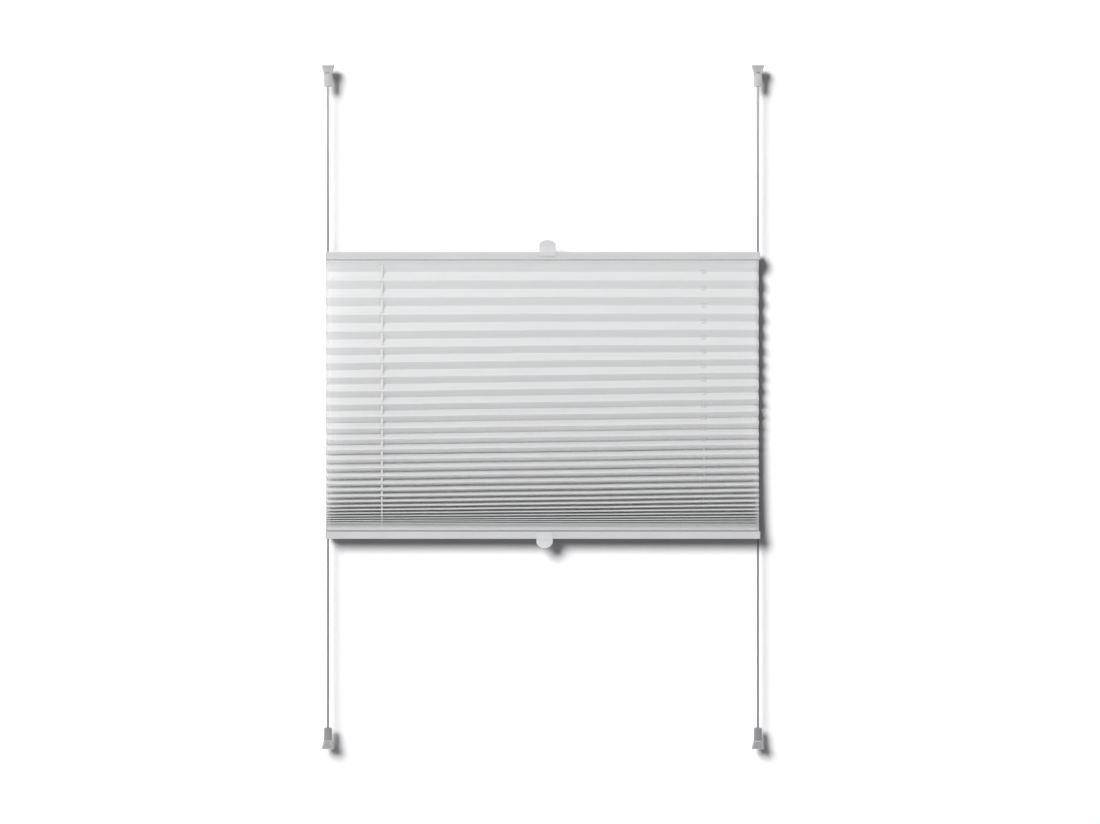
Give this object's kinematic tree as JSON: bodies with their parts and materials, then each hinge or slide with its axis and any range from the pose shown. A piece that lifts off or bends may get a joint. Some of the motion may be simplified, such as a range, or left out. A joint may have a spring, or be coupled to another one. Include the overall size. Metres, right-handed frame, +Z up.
{
  "type": "pleated blind",
  "caption": "Pleated window blind: folded fabric between two sliding handle rails, carried by taut doubled cords from shoes at the corners of the reveal.",
  "frame": {"origin": "midway between the two upper shoes, on the upper mounting plane that their feet are screwed to", "axes": "+Z up, +X to the right as seen from the room, and the room is towards -Y"},
  "size_m": [0.815, 0.0269, 1.26],
  "materials": {
    "rail_coating": "satin white powder coat on extruded aluminium",
    "pleat_fabric": "white woven polyester, permanently pleated",
    "strip_plastic": "extruded white plastic bar",
    "handle_plastic": "moulded, fine satin grain",
    "cap_plastic": "moulded, satin",
    "guide_plastic": "moulded natural acetal",
    "foot_plastic": "moulded light grey, ribbed",
    "shoe_plastic": "moulded light grey, satin",
    "cord_braid": "braided polyester cord, grey",
    "pin_steel": "bright drawn wire",
    "crimp_metal": "pressed aluminium ferrule"
  },
  "bodies": {
    "window_fixings": {"bottom_left_cord_crimp": "crimp_metal", "bottom_left_shoe": "shoe_plastic", "bottom_left_shoe_foot": "foot_plastic", "bottom_right_cord_crimp": "crimp_metal", "bottom_right_shoe": "shoe_plastic", "bottom_right_shoe_foot": "foot_plastic", "left_tension_cord": "cord_braid", "right_tension_cord": "cord_braid", "top_left_hook_pin": "pin_steel", "top_left_shoe": "shoe_plastic", "top_left_shoe_foot": "foot_plastic", "top_right_hook_pin": "pin_steel", "top_right_shoe": "shoe_plastic", "top_right_shoe_foot": "foot_plastic"},
    "upper_rail_set": {"pleated_fabric": "pleat_fabric", "top_fabric_strip": "strip_plastic", "top_handle": "handle_plastic", "top_left_cord_guide": "guide_plastic", "top_left_end_cap": "cap_plastic", "top_rail": "rail_coating", "top_right_cord_guide": "guide_plastic", "top_right_end_cap": "cap_plastic"},
    "lower_rail_set": {"bottom_fabric_strip": "strip_plastic", "bottom_handle": "handle_plastic", "bottom_left_cord_guide": "guide_plastic", "bottom_left_end_cap": "cap_plastic", "bottom_rail": "rail_coating", "bottom_right_cord_guide": "guide_plastic", "bottom_right_end_cap": "cap_plastic"}
  },
  "joints": [
    {"name": "top_rail_slide", "type": "slide", "parent": "window_fixings", "child": "upper_rail_set", "axis": [0, 0, 1], "range_m": [-0.325, 0.303], "deforming": ["pleated_fabric", "left_tension_cord", "right_tension_cord"]},
    {"name": "bottom_rail_slide", "type": "slide", "parent": "window_fixings", "child": "lower_rail_set", "axis": [0, 0, 1], "range_m": [-0.346, 0.115], "deforming": ["pleated_fabric", "left_tension_cord", "right_tension_cord"]}
  ]
}
